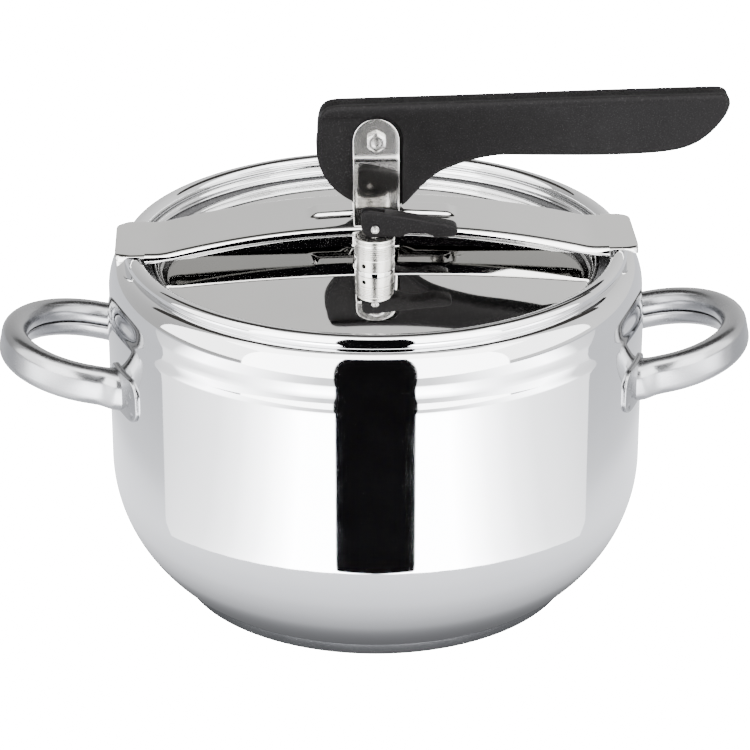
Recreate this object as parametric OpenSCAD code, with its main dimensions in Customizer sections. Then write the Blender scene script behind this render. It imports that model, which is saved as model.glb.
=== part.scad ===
// Stovetop pressure cooker with an inner lid.
// The lid sits under an inward ledge of the pot's mouth. A steel bridge rests
// across the rim, and a cam lever on a strap bracket draws the lid upwards.
// Origin: centre of the base, on the hob. +Z up, lever to +X, valve to -Y.

/* [Pot] */
// Outer radius of the straight wall
wall_r = 123.3; // [122.8:0.1:123.8]
// Sheet thickness of the pot
pot_t = 1.2; // [0.8:0.1:1.4]
// Radius of the rounded bottom corner
bowl_r = 70; // [66:1:72]
// Thickness of the layered base, cap included
base_t = 7.2; // [6.5:0.1:8]
// Radius of the base disc
base_r = 93; // [91:0.5:94]

/* [Rim] */
// Height of the top of the rim bead
rim_h = 166.5; // [166.4:0.1:166.6]
// Tube radius of the rim bead
bead_r = 3.6; // [3.4:0.1:3.7]
// Radius of the bead's centre circle
bead_c = 111.5; // [111:0.1:112]
// Radius of the mouth across its short axis
mouth_r = 103.4; // [103:0.1:103.8]
// Half of the extra length of the mouth along X
mouth_x = 3.5; // [3:0.1:3.8]

/* [Side handles] */
// Bend radius of the handle's centre line
loop_r = 37; // [36:0.5:38]
// Height of the handle section
grip_h = 18.2; // [17:0.1:18.6]
// Thickness of the handle section
grip_w = 11.6; // [10.5:0.1:12]
// Upward tilt of the handles
grip_tilt = 11.6; // [10:0.2:12]

/* [Lid] */
// Height of the lid's centre
lid_top = 167; // [166.6:0.1:167.2]
// Rise of the lid from edge to centre
lid_rise = 8.8; // [8:0.1:9]
// Sheet thickness of the lid
lid_t = 1.2; // [1:0.1:1.4]
// Distance of the valve from the centre
valve_d = 35; // [34:0.5:36]
// Offset of the valve towards the left
valve_x = -2; // [-2.5:0.5:0]

/* [Bridge] */
// Half width of the bridge
bar_w = 22; // [21.5:0.1:22.5]
// Height of the bridge's top at its centre
bar_top = 180; // [179.6:0.1:180]
// Sheet thickness of the bridge
bar_t = 1.4; // [1.2:0.1:1.5]
// Half length of the bridge
bar_l = 118.5; // [118:0.1:119.5]

/* [Lever] */
// Height of the cam lever's pivot
pivot_z = 215.3; // [215.3:0.1:215.5]
// Cam radius when the lever is down
cam_r = 33.2; // [32.8:0.1:33.2]
// How far the lid drops for each degree the lever lifts
cam_rate = 0.07; // [0.06:0.005:0.075]
// Half thickness of the grip
lever_w = 7; // [6.5:0.1:7.5]
// Half thickness of the web between the bracket ears
web_w = 4.5; // [4:0.1:4.6]

/* [Valve] */
// Outer radius of the valve housing
vb_r = 9; // [8.5:0.1:9.2]
// Height of the valve housing's top
vb_top = 181.3; // [181:0.1:181.4]

/* [Hidden] */
$fn = 96;
bead_z = rim_h - bead_r;
steel = [0.80, 0.80, 0.81];
bolt_steel = [0.66, 0.66, 0.67];
sv = [34, 30];            // place of the safety valve
flap_z = rim_h + 0.05;    // underside of the bridge's ends

function arc(cx, cz, r, a0, a1, n) =
  [for (i = [0:n]) let (a = a0 + (a1 - a0) * i / n) [cx + r * cos(a), cz + r * sin(a)]];
function ell(cx, cz, a, b, t0, t1, n) =
  [for (i = [0:n]) let (t = t0 + (t1 - t0) * i / n) [cx + a * cos(t), cz + b * sin(t)]];
// Catmull-Rom curve through control points, open ends
function cr(p0, p1, p2, p3, t) =
  0.5 * ((2 * p1) + (p2 - p0) * t + (2 * p0 - 5 * p1 + 4 * p2 - p3) * t * t
  + (3 * p1 - p0 - 3 * p2 + p3) * t * t * t);
function smooth_pts(p, k) = let (n = len(p)) concat(
  [for (i = [0:n - 2]) for (j = [0:k - 1])
    cr(p[max(i - 1, 0)], p[i], p[i + 1], p[min(i + 2, n - 1)], j / k)], [p[n - 1]]);

// 2D outline stretched along X: two half circles joined by straight sides
module oval(r, d) {
  translate([d, 0]) circle(r = r, $fn = 144);
  translate([-d, 0]) circle(r = r, $fn = 144);
  square([2 * d, 2 * r], center = true);
}

// ---------- pot ----------
bc = wall_r - bowl_r;
a_out = -asin((62 - base_t - 1.6) / bowl_r);
a_in = -asin((62 - base_t - pot_t - 1.2) / (bowl_r - pot_t));
module pot_section() {
  polygon(concat(
    [[0, base_t], [91.5, base_t], [94.6, base_t + 0.35]],
    arc(bc, 62, bowl_r, a_out, 0, 26),
    [[wall_r, 134.6], [wall_r - 0.25, 136.6], [wall_r - 0.75, 138.2], [wall_r - 0.95, 139.8]],
    ell(wall_r - 8.95, 146, 8, 14.4, 0, 82, 14),
    arc(bead_c, bead_z, bead_r, -42, 208, 34),
    [[107.7, 159.3], [107, 158.7], [mouth_r + 0.4, 158.7], [mouth_r, 158.3], [mouth_r, 157.8],
     [mouth_r + 0.4, 157.4], [109.4, 157.4]],
    arc(bead_c, bead_z, bead_r - pot_t, 210, -58, 26),
    ell(wall_r - 8.95, 146, 8 - pot_t, 14.4 - pot_t, 84, 0, 14),
    [[wall_r - 0.95 - pot_t, 139.6], [wall_r - 0.75 - pot_t, 138.1], [wall_r - 0.25 - pot_t, 136.5],
     [wall_r - pot_t, 134.5]],
    arc(bc, 62, bowl_r - pot_t, 0, a_in, 26),
    [[94, base_t + pot_t + 0.2], [91, base_t + pot_t], [0, base_t + pot_t]]));
}
module pot_body() {
  color(steel) difference() {
    rotate_extrude($fn = 144) pot_section();
    translate([0, 0, 156]) linear_extrude(2.69) oval(mouth_r, mouth_x);
  }
}
module base_core() {
  color("silver") translate([0, 0, 1]) cylinder(h = base_t - 1, r = base_r - 1.1, $fn = 144);
}
module base_cap() {
  color([0.62, 0.63, 0.64]) rotate_extrude($fn = 144) polygon([[0, 0], [base_r - 1.6, 0],
    [base_r - 0.6, 0.4], [base_r, 1.4], [base_r, base_t - 0.1], [base_r - 1, base_t - 0.1],
    [base_r - 1, 1], [0, 1]]);
}

// ---------- side handles ----------
// Section of the grip: a tall rounded shell, hollow, with a slit on its inner side
function stad(w, h, s) = let (r = w / 2, d = (h - w) / 2) concat(
  [for (i = [0:10]) let (a = s > 0 ? 180 - 18 * i : 18 * i) [r * cos(a), d + r * sin(a)]],
  [for (i = [0:10]) let (a = s > 0 ? -18 * i : -180 + 18 * i) [r * cos(a), -d + r * sin(a)]]);
function flip(p) = [for (i = [len(p) - 1:-1:0]) p[i]];
module grip_2d() {
  polygon(concat([[-grip_w / 2, 0.5]], stad(grip_w, grip_h, 1), [[-grip_w / 2, -0.5], [-grip_w / 2 + 1.2, -0.5]],
    flip(stad(grip_w - 2.4, grip_h - 2.4, 1)), [[-grip_w / 2 + 1.2, 0.5]]));
}
module side_handle() {
  difference() {
    union() {
      translate([131.1, 0, 112.1]) rotate([0, -grip_tilt, 0]) {
        rotate([0, 0, -90]) rotate_extrude(angle = 180, $fn = 96) translate([loop_r, 0]) grip_2d();
        translate([-24, loop_r, 0]) rotate([90, 0, 90]) linear_extrude(24) grip_2d();
        translate([-24, -loop_r, 0]) rotate([90, 0, 90]) linear_extrude(24) mirror([1, 0]) grip_2d();
      }
      // welded end tabs that wrap the wall
      for (s = [1, -1]) intersection() {
        translate([0, 0, 95]) cylinder(h = 30, r = wall_r + 1.55, $fn = 144);
        translate([100, s * 43, 110.5]) rotate([0, 90, 0]) linear_extrude(40) union() {
          square([7, 31], center = true);
          square([21, 17], center = true);
          for (a = [-1, 1]) for (b = [-1, 1]) translate([a * 3.5, b * 8.5]) circle(r = 7, $fn = 48);
        }
      }
    }
    cylinder(h = 200, r = wall_r + 0.05, $fn = 144);
  }
}
module handle_right() { color(steel) side_handle(); }
module handle_left() { color(steel) rotate([0, 0, 180]) side_handle(); }

// ---------- lid ----------
function dome(r) = lid_top - lid_rise * pow(r / 99.5, 2);
module lid_section() {
  polygon(concat(
    [[0, lid_top], [17, lid_top]],
    [for (i = [0:20]) let (r = 21 + (99 - 21) * i / 20) [r, dome(r)]],
    [[100.6, dome(99.5) - 0.5], [101.5, dome(99.5) - 1.3], [101.8, dome(99.5) - 2.4],
     [101.8, 153.5], [100.6, 153.5],
     [100.6, dome(99.5) - 2.4], [100.2, dome(99.5) - 1.9], [99.2, dome(99.5) - lid_t]],
    [for (i = [20:-1:0]) let (r = 21 + (98.6 - 21) * i / 20) [r, dome(r) - lid_t]],
    [[17, lid_top - lid_t], [0, lid_top - lid_t]]));
}
module lid_panel() {
  color(steel) difference() {
    union() {
      rotate_extrude($fn = 144) lid_section();
      translate([0, 0, 153.5]) linear_extrude(1.2) difference() {
        oval(105.6, 3);
        circle(r = 101, $fn = 144);
      }
      translate([valve_x, -valve_d, 163.85]) cylinder(h = 2.65, r = vb_r + 0.2);
      translate([sv[0], sv[1], 163.05]) cylinder(h = 2.6, r = 9.5);
    }
    translate([valve_x, -valve_d, 150]) cylinder(h = 30, r = 4.6);
    translate([sv[0], sv[1], 150]) cylinder(h = 30, r = 4.1);
    for (s = [-1, 1]) translate([s * 6, 0, 150]) cylinder(h = 30, r = 2.05);
  }
}
module lid_gasket() {
  color([0.20, 0.20, 0.21]) difference() {
    translate([0, 0, 151.6]) linear_extrude(5.6) difference() {
      oval(107.4, 3);
      circle(r = 102.1, $fn = 144);
    }
    translate([0, 0, 153.4]) linear_extrude(1.4) oval(105.7, 3);
  }
}

// ---------- bridge ----------
function bz(x) = max(flap_z + bar_t, bar_top - 13 * pow(x / 101, 2));
function lip(x) = abs(x) > 114 ? flap_z - 4.2 : (abs(x) > 105 ? flap_z + 0.1 : 171 - 6.5 * pow(x / 100, 2));
xs = [for (i = [-30:30]) i * 102 / 30];
bend = 4;                 // radius of the folded edges
module bar_sheet(y0, y1, drop) {
  translate([0, y1, -drop]) rotate([90, 0, 0]) linear_extrude(y1 - y0) polygon(concat(
    [[-bar_l, bz(-bar_l)]], [for (x = xs) [x, bz(x)]], [[bar_l, bz(bar_l)]],
    [[bar_l, bz(bar_l) - bar_t]], [for (i = [60:-1:0]) [xs[i], bz(xs[i]) - bar_t]],
    [[-bar_l, bz(-bar_l) - bar_t]]));
}
xl = [-bar_l, -114, -113.99, -105.01, -105, -100, -90, -80, -70, -60, -50, -40, -30, -20, -10, 0,
  10, 20, 30, 40, 50, 60, 70, 80, 90, 100, 105, 105.01, 113.99, 114, bar_l];
module bar_lip() {
  rotate([90, 0, 0]) linear_extrude(bar_t) polygon(concat(
    [for (x = xl) [x, bz(x) - 0.9]], [for (i = [len(xl) - 1:-1:0]) [xl[i], lip(xl[i])]]));
}
module bridge_bar() {
  color(steel) difference() {
    union() {
      bar_sheet(-bar_w + 1.2, bar_w - 1.2, 0);
      for (s = [1, -1]) scale([1, s, 1]) {
        intersection() {
          bar_sheet(bar_w - 2, bar_w - 0.4, 0.45);
          translate([-150, 0, flap_z]) cube([300, 40, 40]);
        }
        translate([0, bar_w, 0]) bar_lip();
      }
      // raised rib under the cam
      difference() {
        translate([-31, -6.9, bar_top - bar_t - 0.2]) cube([68, 13.8, bar_t + 2]);
        for (s = [1, -1]) scale([s, 1, 1]) translate([s > 0 ? 37 : 31, -8, bar_top + 1.8]) rotate([0, 35, 0])
          translate([-9, 0, 0]) cube([20, 16, 9]);
        for (s = [1, -1]) scale([1, s, 1]) translate([-40, 6.9, bar_top + 0.1]) rotate([45, 0, 0])
          cube([80, 4, 4]);
      }
    }
    for (s = [1, -1]) translate([-11.2, s * 7.2 - 1.15, 160]) cube([22.4, 2.3, 40]);
  }
}

// ---------- strap bracket, U shaped ----------
ear = 5;                  // inner face of the upper ears
module strap_bracket() {
  color(steel) difference() {
    intersection() {
      rotate([90, 0, 90]) translate([0, 0, -10.5]) linear_extrude(21) polygon([
        [-8, lid_top], [8, lid_top], [8, 207], [ear + 1.6, 209.2], [ear + 1.6, 228], [ear, 228],
        [ear, 209], [6.4, 206.6], [6.4, lid_top + 1.6], [-6.4, lid_top + 1.6], [-6.4, 206.6],
        [-ear, 209], [-ear, 228], [-ear - 1.6, 228], [-ear - 1.6, 209.2], [-8, 207]]);
      translate([0, 12, 0]) rotate([90, 0, 0]) linear_extrude(24) {
        translate([0, pivot_z]) circle(r = 10.5);
        translate([-10.5, lid_top - 1]) square([21, pivot_z - lid_top + 1]);
      }
    }
    rotate([90, 0, 0]) translate([0, pivot_z, -12]) cylinder(h = 24, r = 3.05);
    for (s = [-1, 1]) translate([s * 6, 0, 160]) cylinder(h = 12, r = 2.05);
  }
}
module strap_rivets() {
  color(bolt_steel) for (s = [-1, 1]) translate([s * 6, 0, 0]) {
    translate([0, 0, lid_top - lid_t - 2.4]) cylinder(h = lid_t + 4, r = 2);
    translate([0, 0, lid_top + 1.6]) rotate_extrude() polygon([[0, 0], [3.4, 0], [3.2, 0.8], [2.2, 1.4], [0, 1.7]]);
    translate([0, 0, lid_top - lid_t - 3.9]) rotate_extrude() polygon([[0, 0], [2.4, 0.2], [3.4, 1.0], [3.4, 1.5], [0, 1.5]]);
  }
}
module strap_washers() {
  color([0.25, 0.25, 0.26]) for (s = [-1, 1]) translate([s * 6, 0, lid_top - lid_t - 2.4]) difference() {
    cylinder(h = 2.4, r = 4.6);
    translate([0, 0, -1]) cylinder(h = 6, r = 2.02);
  }
}

// ---------- cam lever ----------
// Cam radius at body angle f, measured from straight down towards -X
function cam(f) = cam_r - (f > 0 ? 0.35 * min(1, f / 8) + cam_rate * f : 0);
// Control points are relative to the pivot
lever_under = [[14, -29.6], [16.8, -26.6], [20.5, -22.6], [24.5, -18.8], [29, -15.6], [35, -12.9],
  [42, -10.6], [50, -8.9], [58, -8.1], [75, -8.5], [100, -8.9], [118, -8.6], [130, -7.8], [138, -6.4],
  [144, -4.2], [149, -0.9], [153.4, 3.4], [157, 8.2], [159, 12.4], [159.4, 15.6], [158.2, 18.4], [155.4, 19.6]];
lever_top = [[152, 19.7], [100, 18.9], [40, 17.6], [-10, 16.7], [-18.5, 16.4], [-22.6, 15], [-25, 12],
  [-26, 8], [-26.3, 4]];
module lever_outline() {
  polygon(concat(
    [for (i = [0:2:92]) let (f = 92 - i) [-cam(f) * sin(f), -cam(f) * cos(f)]],
    [for (f = [-4, -8, -12, -16, -20]) [-cam(f) * sin(f), -cam(f) * cos(f)]],
    smooth_pts(lever_under, 3), smooth_pts(lever_top, 3)));
}
module recess_2d() {
  circle(r = 12.2);
  polygon([[11.6, 0], [11.6, -40], [-40, -40], [-40, 11.4], [-6, 11.4], [0, 0]]);
  translate([-40, -20]) square([40, 31.4]);
}
module cam_lever() {
  color([0.13, 0.13, 0.14]) translate([0, 0, pivot_z]) rotate([90, 0, 0]) difference() {
    translate([0, 0, -lever_w]) linear_extrude(2 * lever_w) lever_outline();
    translate([0, 0, web_w]) linear_extrude(10) recess_2d();
    translate([0, 0, -web_w - 10]) linear_extrude(10) recess_2d();
    translate([0, 0, -20]) cylinder(h = 40, r = 5.02);
  }
}
module lever_bush() {
  color(bolt_steel) translate([0, web_w + 0.2, pivot_z]) rotate([90, 0, 0]) difference() {
    cylinder(h = 2 * web_w + 0.4, r = 5);
    translate([0, 0, -1]) cylinder(h = 20, r = 3.06);
  }
}
module lever_bolt() {
  color(bolt_steel) translate([0, 0, pivot_z]) rotate([90, 0, 0]) {
    translate([0, 0, -13]) cylinder(h = 13 + ear + 1.7, r = 3);
    translate([0, 0, ear + 1.65]) cylinder(h = 2.6, r = 4.75, $fn = 6);
    translate([0, 0, ear + 4]) cylinder(h = 0.5, r = 3.2);
  }
}
module lever_nut() {
  color(bolt_steel) translate([0, 0, pivot_z]) rotate([-90, 0, 0]) translate([0, 0, ear + 1.65]) difference() {
    union() {
      cylinder(h = 4.6, r = 5.4, $fn = 6);
      cylinder(h = 0.8, r = 6);
    }
    translate([0, 0, -1]) cylinder(h = 10, r = 3.01);
  }
}

// ---------- regulating valve ----------
module at_valve() { translate([valve_x, -valve_d, 0]) children(); }
module valve_nozzle() {
  color("gold") at_valve() difference() {
    union() {
      translate([0, 0, 166.5]) cylinder(h = 1.5, r = vb_r - 1.75);
      translate([0, 0, 168]) cylinder(h = 2.2, r1 = 4.6, r2 = 3.2);
      translate([0, 0, 157.5]) cylinder(h = 9.2, r = 4.5);
    }
    translate([0, 0, 150]) cylinder(h = 30, r = 1.5);
  }
}
module valve_washer() {
  color([0.25, 0.25, 0.26]) at_valve() translate([0, 0, 162.05]) difference() {
    cylinder(h = 1.75, r = 8);
    translate([0, 0, -1]) cylinder(h = 5, r = 4.52);
  }
}
module valve_nut() {
  color("gold") at_valve() translate([0, 0, 158.15]) difference() {
    cylinder(h = 3.85, r = 7.8, $fn = 6);
    translate([0, 0, -1]) cylinder(h = 8, r = 4.52);
  }
}
module valve_housing() {
  color(steel) at_valve() difference() {
    rotate_extrude() polygon(concat(
      [[vb_r - 1.7, 166.55], [vb_r - 0.1, 166.55], [vb_r, 166.9], [vb_r, 171.8], [vb_r - 0.25, 172], [vb_r - 0.25, 172.3], [vb_r, 172.5]],
      [for (i = [0:4]) for (p = [[0, 0], [0, 0.55], [-0.25, 0.7], [-0.25, 0.8]]) [vb_r + p[0], 173 + i * 0.95 + p[1]]],
      [[vb_r, 177.8], [vb_r, 178.6], [vb_r - 0.3, 178.9], [vb_r - 0.3, 179.2], [vb_r, 179.5],
       [vb_r, vb_top - 0.5], [vb_r - 0.5, vb_top], [1.6, vb_top], [1.6, vb_top - 2], [vb_r - 1.7, vb_top - 2]]));
    for (a = [0:120:240]) rotate([0, 0, a - 125]) translate([0, 0, 169.4])
      rotate([0, 90, 0]) translate([0, 0, 5]) cylinder(h = 8, r = 0.95, $fn = 24);
  }
}
function helix(r, z0, z1, turns, n) =
  [for (i = [0:n]) let (a = 360 * turns * i / n) [r * cos(a), r * sin(a), z0 + (z1 - z0) * i / n]];
module coil(r, w, z0, z1, turns, n) {
  c = helix(r, z0, z1, turns, n);
  k = 8;
  pts = [for (i = [0:n]) let (a = 360 * turns * i / n) for (j = [0:k - 1])
    let (b = 360 * j / k) [(r + w * cos(b)) * cos(a), (r + w * cos(b)) * sin(a), c[i][2] + w * sin(b)]];
  polyhedron(points = pts, faces = concat(
    [[for (j = [0:k - 1]) j]],
    [for (i = [0:n - 1]) for (j = [0:k - 1])
      [i * k + j, (i + 1) * k + j, (i + 1) * k + (j + 1) % k, i * k + (j + 1) % k]],
    [[for (j = [k - 1:-1:0]) n * k + j]]));
}
module valve_spring() {
  color("gray") at_valve() coil(2.9, 0.45, 173.5, vb_top - 2.6, 3.5, 56);
}
module valve_spindle() {
  color(bolt_steel) at_valve() difference() {
    union() {
      translate([0, 0, 170.3]) cylinder(h = 1.2, r1 = 1.2, r2 = 2.6);
      translate([0, 0, 171.5]) cylinder(h = 1.4, r = 3.9);
      translate([0, 0, 172.8]) cylinder(h = 15.2, r = 1.5);
    }
    translate([0, 5, 185.6]) rotate([90, 0, 0]) cylinder(h = 10, r = 1.06, $fn = 48);
  }
}
// Small black lever: its heel is a cam that lifts the spindle
function heel(f) = 3.9 + 2 * f / 90;
rel_pts = [[-6, 0.4], [-6.2, 3.6], [-5.4, 7], [-2.5, 8.1], [6, 6.9], [16, 5], [26, 2.9], [33.6, 1.3],
  [36, 0.3], [36.8, -1.6], [35.8, -3.6], [32.4, -4.6]];
module release_lever() {
  color([0.12, 0.12, 0.13]) at_valve() translate([0, 0, 185.6]) rotate([90, 0, 0]) difference() {
    translate([0, 0, -4]) linear_extrude(8) polygon(concat(
      [for (f = [0:10:90]) [-heel(f) * sin(f), -heel(f) * cos(f)]],
      smooth_pts(rel_pts, 3),
      [for (i = [0:8]) [27 - 2 * i, -4.5 + 0.05 * i + 2.4 * sin(180 * i / 8)]], [[7, -3.9]]));
    translate([-8, -9, -1.75]) cube([12.5, 20, 3.5]);
    translate([0, 0, -6]) cylinder(h = 12, r = 1.02, $fn = 48);
  }
}
module release_pin() {
  color("white") at_valve() translate([0, 0, 185.6]) rotate([90, 0, 0]) {
    translate([0, 0, -4.6]) cylinder(h = 9, r = 1, $fn = 48);
    translate([0, 0, 4.05]) rotate_extrude($fn = 48) polygon([[0, 0], [1.9, 0], [1.9, 0.4], [1.5, 0.8], [0.8, 0.8], [0.8, 0.5], [0, 0.5]]);
  }
}

// ---------- safety valve ----------
module at_safety() { translate([sv[0], sv[1], 0]) children(); }
module safety_housing() {
  color("gold") at_safety() difference() {
    union() {
      translate([0, 0, 165.7]) cylinder(h = 1.3, r = 6.6);
      translate([0, 0, 167]) cylinder(h = 4.4, r = 5.6, $fn = 6);
      translate([0, 0, 157]) cylinder(h = 8.8, r = 4);
    }
    translate([0, 0, 150]) cylinder(h = 30, r = 1.6);
    translate([0, 0, 160.4]) cylinder(h = 9.8, r = 2.9);
  }
}
module safety_nut() {
  color("gold") at_safety() translate([0, 0, 157.85]) difference() {
    cylinder(h = 3.4, r = 6.9, $fn = 6);
    translate([0, 0, -1]) cylinder(h = 8, r = 4.02);
  }
}
module safety_washer() {
  color([0.25, 0.25, 0.26]) at_safety() translate([0, 0, 161.3]) difference() {
    cylinder(h = 1.7, r = 7);
    translate([0, 0, -1]) cylinder(h = 5, r = 4.02);
  }
}
module safety_spring() {
  color("gray") at_safety() coil(2.2, 0.4, 164.2, 169.7, 3, 48);
}
module safety_plug() {
  color("silver") at_safety() {
    translate([0, 0, 160.5]) cylinder(h = 3.2, r = 2.8);
    translate([0, 0, 163.6]) cylinder(h = 9, r = 1.5);
    translate([0, 0, 172.5]) cylinder(h = 1, r1 = 1.5, r2 = 1.1);
  }
}

pot_body();
base_core();
base_cap();
handle_left();
handle_right();
lid_panel();
lid_gasket();
bridge_bar();
strap_bracket();
strap_rivets();
strap_washers();
cam_lever();
lever_bush();
lever_bolt();
lever_nut();
valve_nozzle();
valve_washer();
valve_nut();
valve_housing();
valve_spring();
valve_spindle();
release_lever();
release_pin();
safety_housing();
safety_nut();
safety_washer();
safety_spring();
safety_plug();
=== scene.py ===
import math

import bmesh
import bpy
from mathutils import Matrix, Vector


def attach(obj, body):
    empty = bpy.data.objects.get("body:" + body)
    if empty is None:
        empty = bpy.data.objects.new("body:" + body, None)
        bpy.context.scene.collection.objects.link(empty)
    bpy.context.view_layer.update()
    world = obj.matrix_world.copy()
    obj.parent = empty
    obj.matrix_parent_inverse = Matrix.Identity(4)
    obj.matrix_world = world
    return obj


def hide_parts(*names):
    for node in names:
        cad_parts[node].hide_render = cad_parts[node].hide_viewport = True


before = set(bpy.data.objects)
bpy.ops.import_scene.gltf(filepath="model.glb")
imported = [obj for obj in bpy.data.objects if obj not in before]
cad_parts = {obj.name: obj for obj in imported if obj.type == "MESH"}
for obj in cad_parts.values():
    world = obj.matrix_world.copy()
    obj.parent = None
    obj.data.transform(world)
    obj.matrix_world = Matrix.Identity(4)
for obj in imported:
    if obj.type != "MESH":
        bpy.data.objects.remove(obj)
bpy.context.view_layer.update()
MM = 0.001
R = math.radians
scene = bpy.context.scene

# ------------------------------------------------------------------ camera
el, dist, aim = R(24.39), 1.456, 0.0971
az = R(2.6)
cam_d = bpy.data.cameras.new("camera")
cam = bpy.data.objects.new("camera", cam_d)
scene.collection.objects.link(cam)
cam_d.lens = 149.85
cam_d.sensor_width = 36
cam_d.shift_x = -0.0007
cam_d.clip_end = 50
cam.location = (-dist * math.cos(el) * math.sin(az), -dist * math.cos(el) * math.cos(az), aim + dist * math.sin(el))
cam.rotation_euler = (math.pi / 2 - el, 0, -az)
scene.camera = cam

# ------------------------------------------------------------------ dimensions (mm), as in the design
WALL, BEAD_R, BEAD_C, RIM = 123.3, 3.6, 111.5, 166.5
BEAD_Z = RIM - BEAD_R
POT_T, BOWL, BASE_T, BASE_R = 1.2, 70.0, 7.2, 93.0
MOUTH_R, MOUTH_X = 103.4, 3.5
LID_TOP, LID_RISE, LID_T = 167.0, 8.8, 1.2
VALVE_X, VALVE_D, VB_R, VB_TOP = -2.0, 35.0, 9.0, 181.3
BAR_W, BAR_TOP, BAR_T, BAR_L = 22.0, 180.0, 1.4, 118.5
FLAP = RIM + 0.05
PIVOT = 215.3
SV = (34.0, 30.0)


# ------------------------------------------------------------------ mesh helpers
def arc(cx, cz, r, a0, a1, n):
    return [(cx + r * math.cos(R(a0 + (a1 - a0) * i / n)), cz + r * math.sin(R(a0 + (a1 - a0) * i / n))) for i in range(n + 1)]


def ell(cx, cz, a, b, t0, t1, n):
    return [(cx + a * math.cos(R(t0 + (t1 - t0) * i / n)), cz + b * math.sin(R(t0 + (t1 - t0) * i / n))) for i in range(n + 1)]


def oval(rad, d, th):
    """Distance from the centre to two half circles of radius rad, d apart from the centre along X."""
    s, c = math.sin(th), abs(math.cos(th))
    if abs(s) > 1e-9 and rad / abs(s) * c <= d:
        return rad / abs(s)
    return d * c + math.sqrt(max(0.0, rad * rad - d * d * s * s))


def finish_mesh(name, bm, mat, body, replaces=(), sharp=32, offset=(0, 0, 0)):
    bmesh.ops.remove_doubles(bm, verts=bm.verts, dist=2e-6)
    bmesh.ops.dissolve_degenerate(bm, edges=bm.edges, dist=1e-7)
    bmesh.ops.recalc_face_normals(bm, faces=bm.faces)
    for v in bm.verts:
        v.co += Vector(offset) * MM
    for f in bm.faces:
        f.smooth = True
    lim = R(sharp)
    for e in bm.edges:
        if len(e.link_faces) == 2:
            if e.calc_face_angle(0.0) > lim:
                e.smooth = False
    me = bpy.data.meshes.new(name)
    bm.to_mesh(me)
    bm.free()
    o = bpy.data.objects.new(name, me)
    scene.collection.objects.link(o)
    o.data.materials.append(mat)
    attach(o, body)
    if replaces:
        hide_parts(*replaces)
    return o


def lathe(bm, prof, n=192, closed=True, at=(0, 0)):
    """Revolves a profile. prof is a list of (r, z) in mm, or a function of the angle that returns one."""
    fn = prof if callable(prof) else (lambda th: prof)
    rings = []
    for i in range(n):
        th = 2 * math.pi * i / n
        c, s = math.cos(th), math.sin(th)
        ring = []
        for r, z in fn(th):
            ring.append(bm.verts.new(((at[0] + r * c) * MM, (at[1] + r * s) * MM, z * MM)))
        rings.append(ring)
    m = len(rings[0])
    last = m if closed else m - 1
    for i in range(n):
        a, b = rings[i], rings[(i + 1) % n]
        for j in range(last):
            k = (j + 1) % m
            vs = [a[j], b[j], b[k], a[k]]
            try:
                bm.faces.new(vs)
            except ValueError:
                pass


def loft(bm, sections, closed_section=True, cap=True):
    """Joins sections, each a list of (x, y, z) in mm."""
    rows = [[bm.verts.new((p[0] * MM, p[1] * MM, p[2] * MM)) for p in s] for s in sections]
    m = len(rows[0])
    last = m if closed_section else m - 1
    for a, b in zip(rows, rows[1:]):
        for j in range(last):
            k = (j + 1) % m
            bm.faces.new([a[j], a[k], b[k], b[j]])
    if cap and closed_section:
        bm.faces.new(list(reversed(rows[0])))
        bm.faces.new(rows[-1])
    return rows


def inset(pts, d, w=None):
    """Moves a closed outline inwards by d, times each point's weight, along its vertex normals. The outline runs anticlockwise."""
    n = len(pts)
    out = []
    dd = d
    for i in range(n):
        if w:
            d = dd * w[i]
        a, p, b = Vector(pts[i - 1]), Vector(pts[i]), Vector(pts[(i + 1) % n])
        e1, e2 = (p - a), (b - p)
        if e1.length < 1e-9 or e2.length < 1e-9:
            out.append(tuple(p))
            continue
        e1.normalize()
        e2.normalize()
        n1, n2 = Vector((-e1.y, e1.x)), Vector((-e2.y, e2.x))
        m = n1 + n2
        if m.length < 1e-6:
            m = n1.copy()
        m.normalize()
        k = d / max(0.45, m.dot(n1))
        out.append((p.x + m.x * k, p.y + m.y * k))
    return out


def area(pts):
    return 0.5 * sum(pts[i - 1][0] * pts[i][1] - pts[i][0] * pts[i - 1][1] for i in range(len(pts)))


def plate_xz(bm, outline, y0, y1, bevel, steps=5, cx=0.0, cz=0.0, bevel_back=None, w=None):
    """A plate with an outline in XZ between y0 and y1 (mm), its edges rounded. w scales the rounding of each point."""
    if area(outline) < 0:
        outline = list(reversed(outline))
        w = list(reversed(w)) if w else None
    bb = bevel if bevel_back is None else bevel_back
    secs = []
    for k in range(steps + 1):
        a = math.pi / 2 * k / steps
        o = inset(outline, bevel * (1 - math.sin(a)), w)
        secs.append([(cx + p[0], y0 + bevel * (1 - math.cos(a)), cz + p[1]) for p in o])
    for k in range(steps, -1, -1):
        a = math.pi / 2 * k / steps
        o = inset(outline, bb * (1 - math.sin(a)), w)
        secs.append([(cx + p[0], y1 - bb * (1 - math.cos(a)), cz + p[1]) for p in o])
    loft(bm, secs)


def smooth_pts(p, k):
    out = []
    n = len(p)
    for i in range(n - 1):
        p0, p1, p2, p3 = p[max(i - 1, 0)], p[i], p[i + 1], p[min(i + 2, n - 1)]
        for j in range(k):
            t = j / k
            out.append(tuple(0.5 * (2 * p1[c] + (p2[c] - p0[c]) * t + (2 * p0[c] - 5 * p1[c] + 4 * p2[c] - p3[c]) * t * t
                       + (3 * p1[c] - p0[c] - 3 * p2[c] + p3[c]) * t ** 3) for c in (0, 1)))
    out.append(tuple(p[-1]))
    return out


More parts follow.
